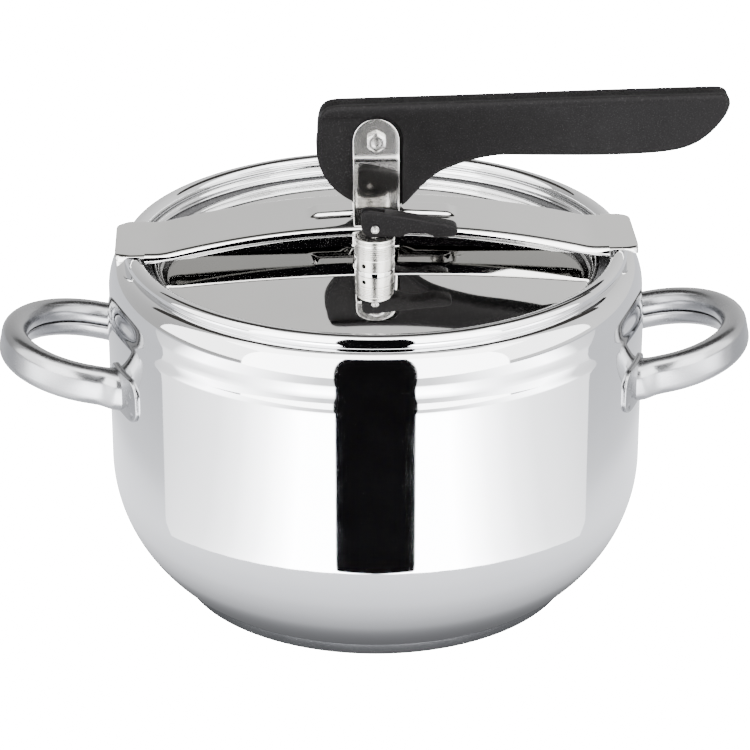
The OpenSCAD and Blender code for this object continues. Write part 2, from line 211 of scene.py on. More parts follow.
# ------------------------------------------------------------------ materials
def new_mat(name):
    m = bpy.data.materials.new(name)
    m.use_nodes = True
    nt = m.node_tree
    for n in list(nt.nodes):
        nt.nodes.remove(n)
    out = nt.nodes.new("ShaderNodeOutputMaterial")
    b = nt.nodes.new("ShaderNodeBsdfPrincipled")
    nt.links.new(b.outputs[0], out.inputs[0])
    return m, nt, b


def coords(nt, scale=(1, 1, 1), rot=(0, 0, 0)):
    tc = nt.nodes.new("ShaderNodeTexCoord")
    mp = nt.nodes.new("ShaderNodeMapping")
    mp.inputs["Scale"].default_value = scale
    mp.inputs["Rotation"].default_value = rot
    nt.links.new(tc.outputs["Object"], mp.inputs["Vector"])
    return mp.outputs[0]


def noise(nt, vec, scale, detail=3.0, rough=0.5, dist=0.0):
    n = nt.nodes.new("ShaderNodeTexNoise")
    n.inputs["Scale"].default_value = scale
    n.inputs["Detail"].default_value = detail
    n.inputs["Roughness"].default_value = rough
    n.inputs["Distortion"].default_value = dist
    nt.links.new(vec, n.inputs["Vector"])
    return n.outputs["Fac"]


def ramp(nt, fac, lo, hi, a=0.0, b=1.0):
    r = nt.nodes.new("ShaderNodeMapRange")
    r.inputs["From Min"].default_value = a
    r.inputs["From Max"].default_value = b
    r.inputs["To Min"].default_value = lo
    r.inputs["To Max"].default_value = hi
    nt.links.new(fac, r.inputs["Value"])
    return r.outputs["Result"]


def mixc(nt, fac, c1, c2):
    m = nt.nodes.new("ShaderNodeMix")
    m.data_type = "RGBA"
    m.inputs[6].default_value = (*c1, 1)
    m.inputs[7].default_value = (*c2, 1)
    nt.links.new(fac, m.inputs[0])
    return m.outputs[2]


def bump(nt, height, strength, distance, b, prev=None):
    n = nt.nodes.new("ShaderNodeBump")
    n.inputs["Strength"].default_value = strength
    n.inputs["Distance"].default_value = distance
    nt.links.new(height, n.inputs["Height"])
    if prev is not None:
        nt.links.new(prev, n.inputs["Normal"])
    nt.links.new(n.outputs[0], b.inputs["Normal"])
    return n.outputs[0]


def steel(name, c1, c2, r1, r2, grain_scale, grain_stretch, bump_s=0.05, bump_d=0.00005, wave=0.0, wave_scale=14):
    """Metal: cloudy colour, roughness that varies, fine polishing lines and a slight sheet waviness."""
    m, nt, b = new_mat(name)
    b.inputs["Metallic"].default_value = 1.0
    v0 = coords(nt)
    v = coords(nt, grain_stretch)
    cloud = noise(nt, v0, 22, 4)
    nt.links.new(mixc(nt, ramp(nt, cloud, 0, 1, 0.3, 0.7), c1, c2), b.inputs["Base Color"])
    g = noise(nt, v, grain_scale, 2, 0.6)
    add = nt.nodes.new("ShaderNodeMath")
    add.operation = "MULTIPLY"
    nt.links.new(g, add.inputs[0])
    nt.links.new(ramp(nt, noise(nt, v0, 60, 3), 0.7, 1.3, 0.3, 0.7), add.inputs[1])
    nt.links.new(ramp(nt, add.outputs[0], r1, r2, 0.2, 0.8), b.inputs["Roughness"])
    prev = None
    if wave:
        prev = bump(nt, noise(nt, v0, wave_scale, 1, 0.4), wave, 0.002, b)
    if bump_s:
        bump(nt, g, bump_s, bump_d, b, prev)
    return m


polished = steel("polished_steel", (0.665, 0.668, 0.68), (0.695, 0.698, 0.708), 0.02, 0.06, 900, (1, 1, 9), 0.015, 0.00002, 0.012)
lidsteel = steel("lid_steel", (0.615, 0.613, 0.605), (0.645, 0.642, 0.633), 0.018, 0.05, 700, (1, 9, 1), 0.015, 0.00002, 0.012)
grip_mat = steel("handle_steel", (0.26, 0.262, 0.27), (0.32, 0.322, 0.33), 0.19, 0.29, 800, (1, 1, 7), 0.04, 0.00003, 0.05, 40)
satin = steel("satin_steel", (0.42, 0.425, 0.44), (0.50, 0.505, 0.52), 0.16, 0.26, 900, (1, 1, 12), 0.025, 0.00002)
strap_mat = steel("strap_steel", (0.50, 0.49, 0.475), (0.62, 0.61, 0.59), 0.075, 0.15, 900, (9, 9, 1), 0.05, 0.00003, 0.04, 60)
nt = strap_mat.node_tree
b = [n for n in nt.nodes if n.type == "BSDF_PRINCIPLED"][0]
sz = nt.nodes.new("ShaderNodeSeparateXYZ")
nt.links.new(nt.nodes.new("ShaderNodeTexCoord").outputs["Object"], sz.inputs[0])
ad = nt.nodes.new("ShaderNodeMath")
ad.operation = "ADD"
nt.links.new(b.inputs["Roughness"].links[0].from_socket, ad.inputs[0])
nt.links.new(ramp(nt, sz.outputs["Z"], 0.0, 0.12, 0.2064, 0.2076), ad.inputs[1])
nt.links.new(ad.outputs[0], b.inputs["Roughness"])
turned = steel("turned_steel", (0.50, 0.49, 0.47), (0.62, 0.61, 0.585), 0.12, 0.30, 1500, (1, 1, 14), 0.25, 0.00008)
bolt_m = steel("bolt_steel", (0.40, 0.395, 0.385), (0.50, 0.49, 0.475), 0.22, 0.34, 900, (1, 1, 1), 0.08, 0.00006)
wire_m = steel("spring_wire", (0.42, 0.42, 0.43), (0.5, 0.5, 0.5), 0.2, 0.34, 900, (1, 1, 1), 0.05, 0.00004)
alu_m = steel("aluminium_core", (0.74, 0.745, 0.755), (0.79, 0.79, 0.80), 0.3, 0.45, 900, (1, 1, 8), 0.1, 0.00006)
# valve nozzle brass painted near black: painted shade for the inside of the valve cage
painted_shade_brass = steel("brass_painted_shade", (0.05, 0.036, 0.018), (0.08, 0.058, 0.03), 0.35, 0.5, 1200, (1, 1, 12), 0.12, 0.00006)
brass_m = steel("brass_turned", (0.62, 0.45, 0.20), (0.72, 0.55, 0.27), 0.18, 0.34, 1200, (1, 1, 12), 0.12, 0.00006)


def phenolic(name):
    """Moulded black plastic: fine pebble grain, faint grey flecks and slightly uneven gloss."""
    m, nt, b = new_mat(name)
    v = coords(nt)
    cloud = noise(nt, v, 35, 4)
    speck = noise(nt, v, 1700, 2, 0.7)
    c = nt.nodes.new("ShaderNodeMix")
    c.data_type = "RGBA"
    nt.links.new(ramp(nt, speck, 0, 1, 0.56, 0.74), c.inputs[0])
    nt.links.new(mixc(nt, cloud, (0.0075, 0.0071, 0.0075), (0.0115, 0.0109, 0.0113)), c.inputs[6])
    c.inputs[7].default_value = (0.034, 0.033, 0.034, 1)
    nt.links.new(c.outputs[2], b.inputs["Base Color"])
    nt.links.new(ramp(nt, noise(nt, v, 120, 3), 0.42, 0.58, 0.3, 0.7), b.inputs["Roughness"])
    b.inputs["Specular IOR Level"].default_value = 0.06
    p = bump(nt, noise(nt, v, 1300, 3, 0.7), 0.35, 0.0001, b)
    bump(nt, noise(nt, v, 240, 2, 0.5), 0.10, 0.0002, b, p)
    return m


def rubber(name):
    m, nt, b = new_mat(name)
    v = coords(nt)
    nt.links.new(mixc(nt, noise(nt, v, 80, 3), (0.035, 0.035, 0.037), (0.06, 0.06, 0.063)), b.inputs["Base Color"])
    nt.links.new(ramp(nt, noise(nt, v, 300, 3), 0.55, 0.75, 0.3, 0.7), b.inputs["Roughness"])
    bump(nt, noise(nt, v, 900, 2), 0.15, 0.0001, b)
    return m


black = phenolic("black_phenolic")
seal = rubber("rubber_seal")

# ------------------------------------------------------------------ pot
BC = WALL - BOWL


def pot_profile(th):
    a_out = -math.degrees(math.asin((62 - BASE_T - 1.6) / BOWL))
    a_in = -math.degrees(math.asin((62 - BASE_T - POT_T - 1.2) / (BOWL - POT_T)))
    m = oval(MOUTH_R, MOUTH_X, th)
    p = [(0.4, BASE_T), (91.5, BASE_T), (93.4, BASE_T + 0.05), (94.6, BASE_T + 0.35), (95.6, BASE_T + 0.9)]
    p += arc(BC, 62, BOWL, a_out, 0, 48)
    p += [(WALL, 66 + i * 8.0) for i in range(9)]
    p += [(WALL, 134.0), (WALL - 0.03, 135.0), (WALL - 0.16, 136.0), (WALL - 0.42, 137.1), (WALL - 0.68, 138.2), (WALL - 0.86, 139.3), (WALL - 0.95, 140.6), (WALL - 0.95, 143)]
    p += ell(WALL - 8.95, 146, 8, 14.4, 0, 80, 28)
    p += [(WALL - 8.4, 160.45)]
    p += arc(BEAD_C, BEAD_Z, BEAD_R, -40, 206, 44)
    p += [(108.0, 159.9), (107.72, 159.2), (107.4, 158.85), (107.2, 158.7), (min(107.1, m + 0.6), 158.7), (m + 0.25, 158.62), (m + 0.06, 158.4),
          (m, 158.05), (m + 0.06, 157.7), (m + 0.25, 157.46), (min(107.6, m + 0.6), 157.4), (109.4, 157.4)]
    p += arc(BEAD_C, BEAD_Z, BEAD_R - POT_T, 210, -58, 24)
    p += ell(WALL - 8.95, 146, 8 - POT_T, 14.4 - POT_T, 84, 0, 18)
    p += [(WALL - 0.95 - POT_T, 140.4), (WALL - 0.7 - POT_T, 138.1), (WALL - 0.2 - POT_T, 136.2), (WALL - POT_T, 134.5)]
    p += arc(BC, 62, BOWL - POT_T, 0, a_in, 30)
    p += [(94, BASE_T + POT_T + 0.2), (91, BASE_T + POT_T), (0.4, BASE_T + POT_T)]
    return p


bm = bmesh.new()
lathe(bm, pot_profile, 256)
finish_mesh("pot_shell", bm, polished, "pot", ["pot_body"], 40)

bm = bmesh.new()
lathe(bm, [(0.4, 0), (BASE_R - 2.2, 0), (BASE_R - 1.2, 0.12), (BASE_R - 0.5, 0.5), (BASE_R - 0.1, 1.1), (BASE_R, 1.8), (BASE_R, BASE_T - 0.9),
           (BASE_R - 0.12, BASE_T - 0.4), (BASE_R - 0.4, BASE_T - 0.12), (BASE_R - 1, BASE_T - 0.1), (BASE_R - 1, 1), (0.4, 1)], 256)
finish_mesh("base_disc_cap", bm, satin, "pot", ["base_cap"], 50)

# ------------------------------------------------------------------ side handles
GW, GH, LR, TILT = 11.6, 18.2, 37.0, 11.6


def grip_section(w, h, n=14):
    """Closed outline of the grip in (u, v): u outwards from the loop's centre, v up. The slit is on the inner side."""
    r, d = w / 2, (h - w) / 2
    top = [(r * math.cos(R(180 - 180 * i / n)), d + r * math.sin(R(180 - 180 * i / n))) for i in range(n + 1)]
    bot = [(r * math.cos(R(-180 * i / n)), -d + r * math.sin(R(-180 * i / n))) for i in range(n + 1)]
    o = [(-r + 2.4, 0.35), (-r + 0.6, 0.4), (-r + 0.15, 0.62), (-r, 1.0), (-r, 2.0)] + top + bot
    return o + [(-r, -2.0), (-r, -1.0), (-r + 0.15, -0.62), (-r + 0.6, -0.4), (-r + 2.4, -0.35)]


def smoothstep(t):
    t = max(0.0, min(1.0, t))
    return t * t * (3 - 2 * t)


def handle(name, side):
    bm = bmesh.new()
    sg = 1 if side > 0 else -1
    cxx, cz, tilt = 131.1, 112.1, R(TILT)
    legs = [-19.0, -12.4, -11.4, -10.2, -8.8, -7.2, -5.4, -3.4, -1.6]
    path = [(t, LR, 0, 1) for t in legs]
    path += [(LR * math.cos(math.pi / 2 - math.pi * i / 56), LR * math.sin(math.pi / 2 - math.pi * i / 56), math.pi / 2 - math.pi * i / 56, 0) for i in range(57)]
    path += [(t, -LR, 0, -1) for t in reversed(legs)]
    secs = []
    for px, py, a, leg in path:
        nx, ny = (0.0, float(leg)) if leg else (math.cos(a), math.sin(a))
        fl = smoothstep((-px - 5.0) / 7.5) if leg else 0.0
        root = px == legs[0]
        sec = []
        for u, v in grip_section(GW * (1 + 0.10 * fl), GH * (1 + 0.07 * fl)):
            if fl and u > 0:
                u *= 1 + 0.25 * fl
            X, Y, Z = px + nx * u, py + ny * u, v
            wx = cxx + X * math.cos(tilt) - Z * math.sin(tilt)
            wz = cz + X * math.sin(tilt) + Z * math.cos(tilt)
            wall = math.sqrt((WALL + 0.2) ** 2 - Y * Y)
            if root or wx < wall:
                wz += (wall - wx) * math.tan(tilt)
                wx = wall
            sec.append((sg * wx, sg * Y, wz))
        secs.append(sec)
    loft(bm, secs)
    finish_mesh(name, bm, grip_mat, "pot", ["handle_right" if side > 0 else "handle_left"], 50)
    for s in (1, -1):
        weld_tab(f"{name}_tab_{'a' if s > 0 else 'b'}", sg, s)


def weld_tab(name, sg, s):
    """End tab wrapped round the wall: a rounded plate with three weld dimples on its outer half."""
    bm = bmesh.new()
    yc, zc, hw, hh, rc = s * 43.0, 110.5, 15.4, 10.4, 7.0
    n, rings = 96, []
    per = []
    for i in range(n):
        a = 2 * math.pi * (i + 0.5) / n
        # ray from the centre to the rounded rectangle
        ca, sa = math.cos(a), math.sin(a)
        lo, hi = 0.0, 40.0
        for _ in range(40):
            m = (lo + hi) / 2
            x, y = abs(m * ca), abs(m * sa)
            dx, dy = x - (hw - rc), y - (hh - rc)
            inside = (dx <= 0 and y <= hh) or (dy <= 0 and x <= hw) or (dx > 0 and dy > 0 and math.hypot(dx, dy) <= rc)
            lo, hi = (m, hi) if inside else (lo, m)
        per.append((lo * ca, lo * sa))

    def put(x, y, t):
        phi = math.asin((yc + x) / WALL)
        rad = WALL + t
        return bm.verts.new((sg * rad * math.cos(phi) * MM, sg * rad * math.sin(phi) * MM, (zc + y) * MM))

    def height(x, y):
        t = 1.45
        for wx, wz in ((s * 7.4, -2.2), (s * 10.4, 3.0), (s * 11.3, -6.6)):
            d = math.hypot(x - wx, y - wz)
            if d < 1.35:
                t -= 0.7 * (0.5 + 0.5 * math.cos(math.pi * d / 1.35))
        return t
    ks = [i / 26 for i in range(1, 25)]
    for k in ks:
        rings.append([put(p[0] * k, p[1] * k, height(p[0] * k, p[1] * k)) for p in per])
    edge = [(0.955, 1.43), (0.98, 1.33), (0.994, 1.12), (1.0, 0.85), (1.0, 0.1)]
    for k, t in edge:
        rings.append([put(p[0] * k, p[1] * k, t) for p in per])
    c = put(0, 0, height(0, 0))
    for i in range(n):
        bm.faces.new([c, rings[0][i], rings[0][(i + 1) % n]])
    for A, B in zip(rings, rings[1:]):
        for i in range(n):
            bm.faces.new([A[i], B[i], B[(i + 1) % n], A[(i + 1) % n]])
    back = [put(p[0] * 0.5, p[1] * 0.5, 0.1) for p in per]
    cb = put(0, 0, 0.1)
    for i in range(n):
        bm.faces.new([rings[-1][i], back[i], back[(i + 1) % n], rings[-1][(i + 1) % n]])
        bm.faces.new([cb, back[(i + 1) % n], back[i]])
    finish_mesh(name, bm, grip_mat, "pot", (), 60)


handle("right_grip", 1)
handle("left_grip", -1)


# ------------------------------------------------------------------ lid
def dome(r):
    return LID_TOP - LID_RISE * (r / 99.5) ** 2


def lid_profile(th):
    e = dome(99.5)
    fl = oval(105.6, 3, th)
    p = [(0.4, LID_TOP), (16, LID_TOP), (17, LID_TOP - 0.02), (18.5, LID_TOP - 0.12)]
    p += [(r, dome(r)) for r in [21 + 3 * i for i in range(27)]]
    p += [(100.1, e - 0.22), (100.8, e - 0.5), (101.3, e - 0.95), (101.65, e - 1.5), (101.8, e - 2.3), (101.8, 155.2), (102.0, 154.85), (102.4, 154.7),
          (fl - 0.4, 154.7), (fl - 0.1, 154.55), (fl, 154.1), (fl - 0.1, 153.65), (fl - 0.4, 153.5), (102, 153.5), (100.9, 153.55), (100.6, 153.9)]
    p += [(100.6, e - 2.4), (100.2, e - 1.9), (99.2, e - LID_T)]
    p += [(r, dome(r) - LID_T) for r in [96 - 6 * i for i in range(13)]]
    p += [(17, LID_TOP - LID_T), (0.4, LID_TOP - LID_T)]
    return p


bm = bmesh.new()
lathe(bm, lid_profile, 256)
finish_mesh("lid_shell", bm, lidsteel, "lid_set", ["lid_panel"], 40)

bm = bmesh.new()
lathe(bm, [(4.7, 163.9), (VB_R + 0.1, 163.9), (VB_R + 0.1, 166.3), (VB_R - 0.1, 166.5), (4.7, 166.5)], 120, at=(VALVE_X, -VALVE_D))
finish_mesh("lid_valve_boss", bm, lidsteel, "lid_set", (), 40)
bm = bmesh.new()
lathe(bm, [(4.2, 163.1), (9.5, 163.1), (9.5, 165.2), (9.2, 165.5), (8.7, 165.64), (4.2, 165.64)], 96, at=SV)
finish_mesh("lid_safety_boss", bm, lidsteel, "lid_set", (), 40)


def gasket_profile(th):
    o, i = oval(107.4, 3, th), 102.1
    f = oval(105.7, 3, th)
    return [(i, 152.1), (i + 0.5, 151.6), (o - 1.2, 151.6), (o - 0.3, 151.9), (o, 152.6), (o, 156.0), (o - 0.3, 156.8), (o - 1.0, 157.2),
            (i + 0.8, 157.2), (i + 0.2, 157.0), (i, 156.5), (i, 154.9), (f - 0.4, 154.9), (f - 0.1, 154.1), (f - 0.4, 153.35), (i, 153.35)]


bm = bmesh.new()
lathe(bm, gasket_profile, 256)
finish_mesh("rim_gasket", bm, seal, "lid_set", ["lid_gasket"], 40)


# ------------------------------------------------------------------ bridge
def bz(x):
    a = BAR_TOP - 13 * (x / 101) ** 2
    b = FLAP + BAR_T
    # soft maximum where the arch runs into the flat ends
    k = 0.9
    h = max(0.0, k - abs(a - b)) / k
    return max(a, b) + h * h * k * 0.25


def lip(x):
    x = abs(x)
    if x > 114:
        return FLAP - 4.2
    if x > 105:
        return FLAP + 0.1
    return 171 - 6.5 * (x / 100) ** 2


def rib(x, y):
    """Height of the pressed rib under the cam."""
    def s(t):
        t = max(0.0, min(1.0, t))
        return t * t * (3 - 2 * t)
    return 1.8 * s(((37.4 - x) if x > 0 else (31.4 + x)) / 5.0) * s((7.2 - abs(y)) / 2.3)


def bridge():
    bm = bmesh.new()
    xs = [-118.5, -118.35, -118.0, -117.4, -116.6, -115.5, -114.2, -113, -111.5, -110, -105.02, -105, -103, -101, -99, -97, -95, -93, -90, -86, -82, -78, -74, -70, -66, -62, -58, -54, -50, -46, -42, -39, -36, -34]
    xs = [x for x in xs if x < -39.5]
    right = [-x for x in reversed(xs)]
    xs = xs + [-38, -36, -34, -32.5, -31.4] + [-31.4 + 0.8 * i for i in range(1, 8)] + [-24, -20, -15, -12, -8, -4, 0, 4, 8, 12, 15, 20, 24, 28, 31]
    xs = xs + [31.8 + 0.8 * i for i in range(0, 8)] + [38.2] + right
    rf = 3.4
    ys = [-(BAR_W - rf) + i * (BAR_W - rf - 6) / 6 for i in range(6)]
    ys = [y for y in ys if y < -8.2]
    ys = ys + [-7.8 + i * 0.6 for i in range(27)] + [-y for y in reversed(ys)]
    secs = []
    for x in xs:
        z = bz(x)
        zl = lip(x)
        end = max(0.0, (abs(x) - 116) / 2.5)
        # corner rounding of the ends
        if abs(x) > 113:
            zl = FLAP + 0.1 - (0.86 if x < 0 else 0.40) * (abs(x) - 113)

        def corner(r):
            t = max(0.0, (abs(x) - 118.5 + r) / r)
            return r * (1 - math.sqrt(max(0.0, 1 - t * t)))
        wn, wp = BAR_W - corner(3.0), BAR_W - corner(6.5 if x < 0 else 4.5)
        dep = min(rf, max(0.6, z - zl - 0.3))
        o = []
        # outer skin from the lip's foot at -Y, over the top, to the lip's foot at +Y
        def fold(sgn, off):
            q = []
            w = wn if sgn < 0 else wp
            for k in range(9):
                a = math.pi / 2 * k / 8
                q.append((sgn * (w - rf + (rf - off) * math.cos(a)), z - dep + (dep - off) * math.sin(a)))
            return q
        left = fold(-1, 0)
        right = list(reversed(fold(1, 0)))
        outer = [(-wn, zl)] + left
        outer += [(y * ((wn if y < 0 else wp) - rf) / (BAR_W - rf), z + rib(x, y)) for y in ys[1:-1]]
        outer += right + [(wp, zl)]
        li = fold(-1, BAR_T)
        ri = list(reversed(fold(1, BAR_T)))
        inner = [(wp - BAR_T, zl)] + [(p[0], p[1]) for p in reversed(ri)]
        inner += [(y * ((wn if y < 0 else wp) - rf) / (BAR_W - rf), z - BAR_T + rib(x, y)) for y in reversed(ys[1:-1])]
        inner += [(p[0], p[1]) for p in reversed(li)] + [(-wn + BAR_T, zl)]
        secs.append([(x, y, zz) for y, zz in outer + inner])
    loft(bm, secs)
    return bm


def boxmesh(bm, x0, x1, y0, y1, z0, z1):
    vs = [bm.verts.new((x * MM, y * MM, z * MM)) for x in (x0, x1) for y in (y0, y1) for z in (z0, z1)]
    for f in ((0, 1, 3, 2), (4, 6, 7, 5), (0, 4, 5, 1), (2, 3, 7, 6), (0, 2, 6, 4), (1, 5, 7, 3)):
        bm.faces.new([vs[i] for i in f])


def boolean_cut(o, cutter_bm, sharp=32):
    me = bpy.data.meshes.new("cut")
    bmesh.ops.recalc_face_normals(cutter_bm, faces=cutter_bm.faces)
    cutter_bm.to_mesh(me)
    cutter_bm.free()
    c = bpy.data.objects.new("cut", me)
    scene.collection.objects.link(c)
    m = o.modifiers.new("cut", "BOOLEAN")
    m.operation = "DIFFERENCE"
    m.solver = "EXACT"
    m.object = c
    bpy.context.view_layer.update()
    dg = bpy.context.evaluated_depsgraph_get()
    nm = bpy.data.meshes.new_from_object(o.evaluated_get(dg))
    o.modifiers.clear()
    old = o.data
    o.data = nm
    bpy.data.meshes.remove(old)
    bpy.data.objects.remove(c)
    b2 = bmesh.new()
    b2.from_mesh(o.data)
    bmesh.ops.dissolve_degenerate(b2, edges=b2.edges, dist=1e-7)
    for f in b2.faces:
        f.smooth = True
    for e in b2.edges:
        e.smooth = not (len(e.link_faces) == 2 and e.calc_face_angle(0.0) > R(sharp))
    b2.to_mesh(o.data)
    b2.free()
    return o


bm = bridge()
bar = finish_mesh("bridge_sheet", bm, lidsteel, "pot", ["bridge_bar"], 45)
cb = bmesh.new()
for s in (1, -1):
    boxmesh(cb, -11.2, 11.2, s * 7.2 - 1.15, s * 7.2 + 1.15, 172, 190)
boolean_cut(bar, cb, 45)


# ------------------------------------------------------------------ strap bracket
def strap():
    bm = bmesh.new()
    t = 1.6

    def ear_y(z):
        """Inner face of an ear at height z: a joggle draws the upper part inwards."""
        if z >= 209.3:
            return 5.0
        if z <= 206.5:
            return 6.4
        u = (z - 206.5) / 2.8
        return 6.4 - 1.4 * (u * u * (3 - 2 * u))
    zs = [LID_TOP + 3.6, 172, 176, 180, 184, 188, 192, 196, 200, 203, 205, 206, 206.5] + [206.5 + 0.28 * i for i in range(1, 11)] + [210.5, 212, 213.5, PIVOT]
    top = [math.degrees(math.asin(min(1, (i / 16)))) for i in range(1, 17)]
    for s in (1, -1):
        # centre strip plus rounded border, built as rows of (x, z)
        rows = []
        for z in zs:
            rows.append((10.5, z))
        for a in [6 * i for i in range(1, 15)]:
            rows.append((10.5 * math.cos(R(a)), PIVOT + 10.5 * math.sin(R(a))))
        b = 0.42
        front, back, edge_f, edge_b = [], [], [], []
        secs = []
        for w, z in rows:
            yi = ear_y(z)
            yo = yi + t
            # section across x at this height, rounded at both edges
            sec = []
            ww = max(w, 0.9)
            for k in range(5):
                a = math.pi / 2 * k / 4
                sec.append((-ww + b * (1 - math.sin(a)), yo - b * (1 - math.cos(a)) if False else yo - b + b * math.sin(a)))
            sec = [(-ww, yi + b)] + [(-ww + b * (1 - math.cos(R(a))), yo - b + b * math.sin(R(a))) for a in (0, 22.5, 45, 67.5, 90)]
            sec += [(x * (ww - b) / 10.0, yo) for x in (-8, -6, -4, -2, 0, 2, 4, 6, 8)]
            sec += [(ww - b * (1 - math.cos(R(a))), yo - b + b * math.sin(R(a))) for a in (90, 67.5, 45, 22.5, 0)]
            sec += [(ww, yi + b)] + [(ww - b * (1 - math.cos(R(a))), yi + b - b * math.sin(R(a))) for a in (30, 60, 90)]
            sec += [(x * (ww - b) / 10.0, yi) for x in (8, 4, 0, -4, -8)]
            sec += [(-ww + b * (1 - math.cos(R(a))), yi + b - b * math.sin(R(a))) for a in (90, 60, 30)]
            secs.append([(x, s * y, z) for x, y in sec])
        loft(bm, secs)
    # foot: bottom plate with bent corners
    secs = []
    prof_o, prof_i = [], []
    r_o, r_i = 3.2, 1.6
    for s in (1, -1):
        rng = range(0, 9) if s > 0 else range(8, -1, -1)
        for k in rng:
            a = math.pi / 2 * k / 8
            prof_o.append((s * (8 - r_o + r_o * math.cos(a)), LID_TOP + r_o - r_o * math.sin(a)))
            prof_i.append((s * (8 - r_o + r_i * math.cos(a)), LID_TOP + r_o - r_i * math.sin(a)))
    prof_o = [(8, LID_TOP + 3.7)] + prof_o + [(-8, LID_TOP + 3.7)]
    prof_i = [(6.4, LID_TOP + 3.7)] + prof_i + [(-6.4, LID_TOP + 3.7)]
    loop = prof_o + list(reversed(prof_i))
    for x in (-10.5, -10.4, -10.1, 10.1, 10.4, 10.5):
        k = {10.5: 0.3, 10.4: 0.1, 10.1: 0.0}[abs(x)]
        if area(loop) < 0:
            loop = list(reversed(loop))
        ins = inset(loop, k)
        secs.append([(x, y, z) for y, z in ins])
    loft(bm, secs)
    return bm


finish_mesh("strap_ears", strap(), strap_mat, "lid_set", ["strap_bracket"], 38)


# ------------------------------------------------------------------ cam lever
def cam_r(f):
    return 33.2 - ((0.35 * min(1, f / 8) + 0.07 * f) if f > 0 else 0)


UNDER = [(14, -29.6), (16.8, -26.6), (20.5, -22.6), (24.5, -18.8), (29, -15.6), (35, -12.9), (42, -10.6), (50, -8.9), (58, -8.1), (75, -8.5), (100, -8.9),
         (118, -8.6), (130, -7.8), (138, -6.4), (144, -4.2), (149, -0.9), (153.4, 3.4), (157, 8.2), (159, 12.4), (159.4, 15.6), (158.2, 18.4), (155.4, 19.6)]
TOP = [(152, 19.7), (100, 18.9), (40, 17.6), (-10, 16.7), (-18.5, 16.4), (-22.6, 15), (-25, 12), (-26, 8), (-26.3, 4)]


def cam_pt(f):
    return (-cam_r(f) * math.sin(R(f)), -cam_r(f) * math.cos(R(f)))


cam_curve = [cam_pt(92 - i) for i in range(0, 93, 2)] + [cam_pt(f) for f in (-4, -8, -12, -16, -20)]
outline = cam_curve + smooth_pts(UNDER, 4) + smooth_pts(TOP, 4)
bm = bmesh.new()
plate_xz(bm, outline, -4.5, 4.5, 0.5, 4, 0, PIVOT)
# thick part: everything outside the recess for the bracket ears
outer = smooth_pts(UNDER, 4) + smooth_pts(TOP, 4)
outer = [p for p in outer if not (p[0] < -20 and p[1] < 12.0)]
edge_pts = [(-24.9, 11.4), (-22, 11.4), (-16, 11.4), (-10, 11.4), (-4.4, 11.4)]
edge_pts += [(12.2 * math.cos(R(a)), 12.2 * math.sin(R(a))) for a in range(108, -1, -4)]
edge_pts += [(11.9, -4), (11.7, -10), (11.7, -18), (11.7, -26), (11.7, -31.0), (12.4, -30.6)]
thick = outer + edge_pts
wts = [min(1.0, 0.12 + 0.10 * max(0.0, p[0] - 12.5)) if p[1] < -20 else min(1.0, 0.18 + 0.12 * max(0.0, p[0] + 26.0)) if p[0] < -14 else 1.0 for p in outer] + [0.12] * len(edge_pts)
plate_xz(bm, thick, -7.0, 7.0, 2.5, 8, 0, PIVOT, None, wts)
finish_mesh("lever_moulding", bm, black, "lever", ["cam_lever"], 55)

# ------------------------------------------------------------------ pivot bolt head and nut, with chamfers
def hexpts(r, n=6, rot=0.0):
    return [(r * math.cos(R(60 * i) + rot), r * math.sin(R(60 * i) + rot)) for i in range(n)]


def bolt_head(bm, y_face, out, r, h, recess=True):
    """A hex head along Y with a chamfered crown and a dished top."""
    rows = []
    n = 72

    def hexrad(a, r):
        a = (a % (math.pi / 3)) - math.pi / 6
        return r * math.cos(math.pi / 6) / math.cos(a)
    prof = [("h", 1.0, 0.0), ("h", 1.0, h * 0.55), ("m", 0.985, h * 0.72), ("m", 0.95, h * 0.86), ("c", 0.80, h * 0.97), ("c", 0.70, h), ("c", 0.55, h), ("c", 0.42, h * 0.93), ("c", 0.10, h * 0.88)]
    if not recess:
        prof = prof[:-2] + [("c", 0.10, h)]
    for kind, k, z in prof:
        ring = []
        for i in range(n):
            a = 2 * math.pi * i / n
            hr = hexrad(a + math.pi / 6, r)
            rad = {"h": hr * k, "m": min(hr, r * k), "c": r * 0.866 * k / 0.866 * 0.9}[kind]
            if kind == "m":
                rad = min(hr, r * k)
            ring.append((rad * math.cos(a), y_face + out * z, PIVOT + rad * math.sin(a)))
        rows.append(ring)
    loft(bm, rows)


bm = bmesh.new()
bolt_head(bm, -6.65, -1, 4.75, 2.85)
lathe_rows = []
for y, r in ((-6.7, 3.0), (-6.6, 3.0), (11.9, 3.0), (12.5, 2.7), (13.0, 2.2)):
    lathe_rows.append([(r * math.cos(2 * math.pi * i / 48), y, PIVOT + r * math.sin(2 * math.pi * i / 48)) for i in range(48)])
loft(bm, lathe_rows)
finish_mesh("pivot_bolt", bm, bolt_m, "lid_set", ["lever_bolt"], 30)
bm = bmesh.new()
bolt_head(bm, 6.65, 1, 5.4, 4.6, recess=False)
rows = []
for y, r in ((6.66, 5.9), (7.3, 6.0), (7.45, 5.8)):
    rows.append([(r * math.cos(2 * math.pi * i / 64), y, PIVOT + r * math.sin(2 * math.pi * i / 64)) for i in range(64)])
loft(bm, rows)
finish_mesh("pivot_nut", bm, bolt_m, "lid_set", ["lever_nut"], 30)

